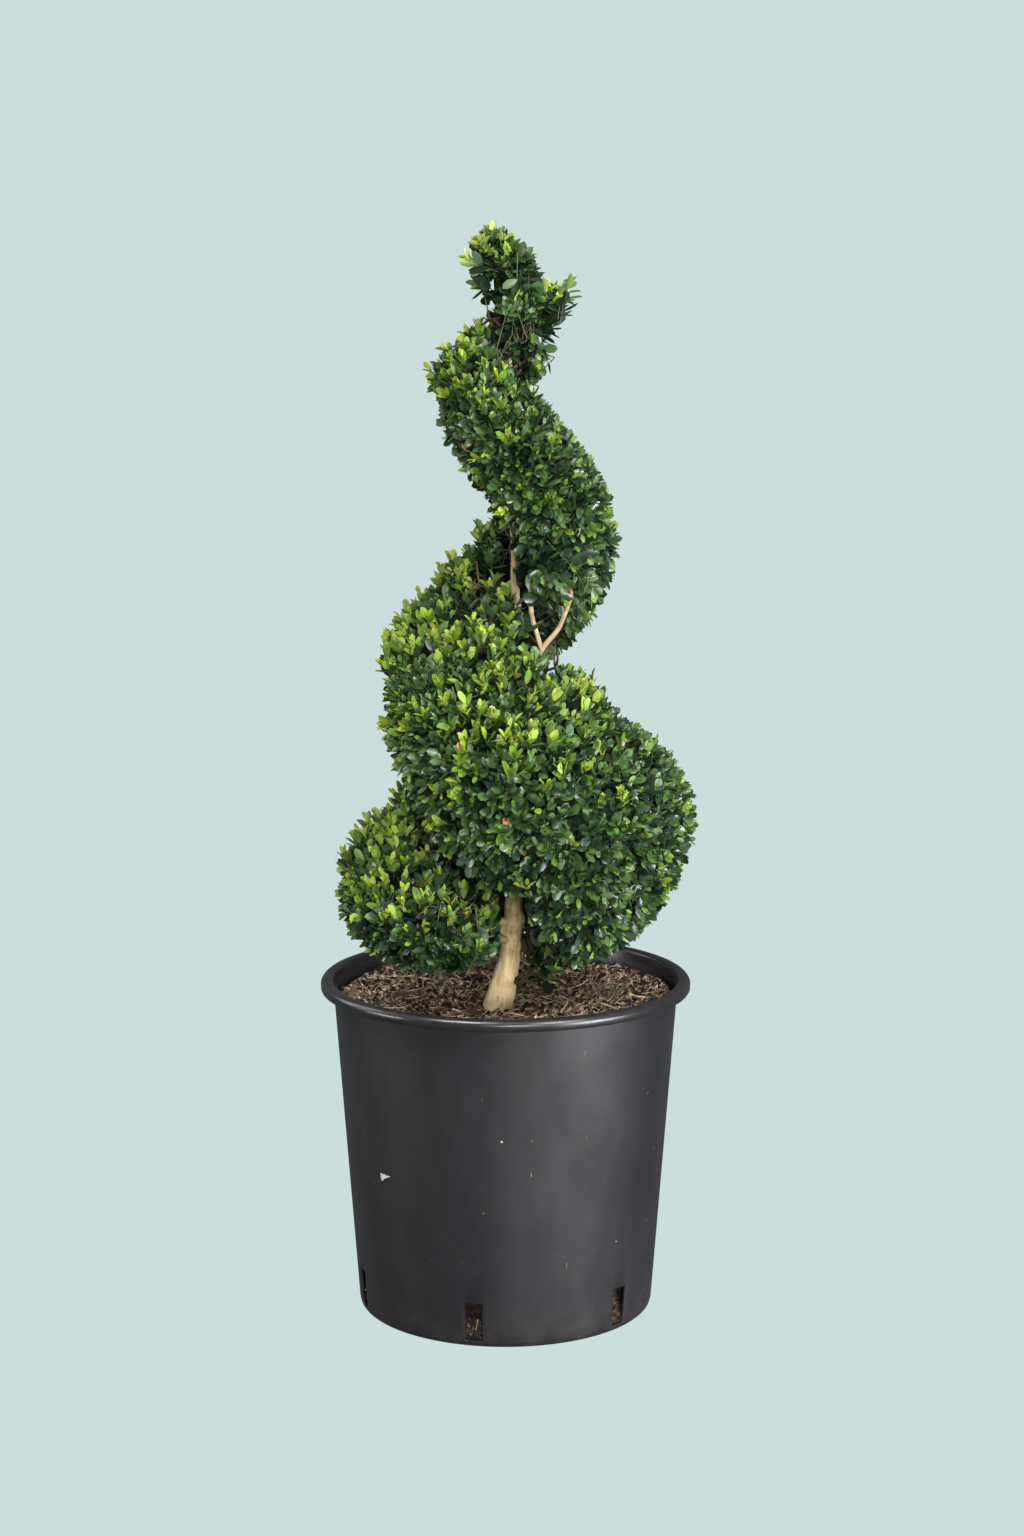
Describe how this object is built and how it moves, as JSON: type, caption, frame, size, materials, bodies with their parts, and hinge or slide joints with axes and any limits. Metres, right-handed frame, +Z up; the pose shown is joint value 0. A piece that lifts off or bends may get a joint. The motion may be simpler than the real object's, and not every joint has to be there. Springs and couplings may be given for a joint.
{
  "type": "spiral topiary",
  "caption": "Box shrub clipped into a tapering left-handed spiral on a single stem, growing in a round black nursery container filled with compost.",
  "frame": {"origin": "centre of the container's flat underside, which stands on the ground", "axes": "+Z up along the container's axis; -Y is the front, where the trunk shows under the foliage; +X to the right seen from the front"},
  "size_m": [0.4072, 0.4055, 1.1678],
  "materials": {
    "pot": "satin",
    "compost": "matte",
    "bark": "matte",
    "foliage": "satin"
  },
  "bodies": {
    "root": {"pot": "pot", "compost": "compost", "trunk": "bark", "fork_bough": "bark", "fork_arm": "bark", "foliage_01": "foliage", "foliage_02": "foliage", "foliage_03": "foliage", "foliage_04": "foliage", "foliage_05": "foliage", "foliage_06": "foliage", "foliage_07": "foliage", "foliage_08": "foliage", "foliage_09": "foliage", "foliage_10": "foliage", "foliage_tip": "foliage", "low_sprigs": "foliage"}
  },
  "joints": []
}
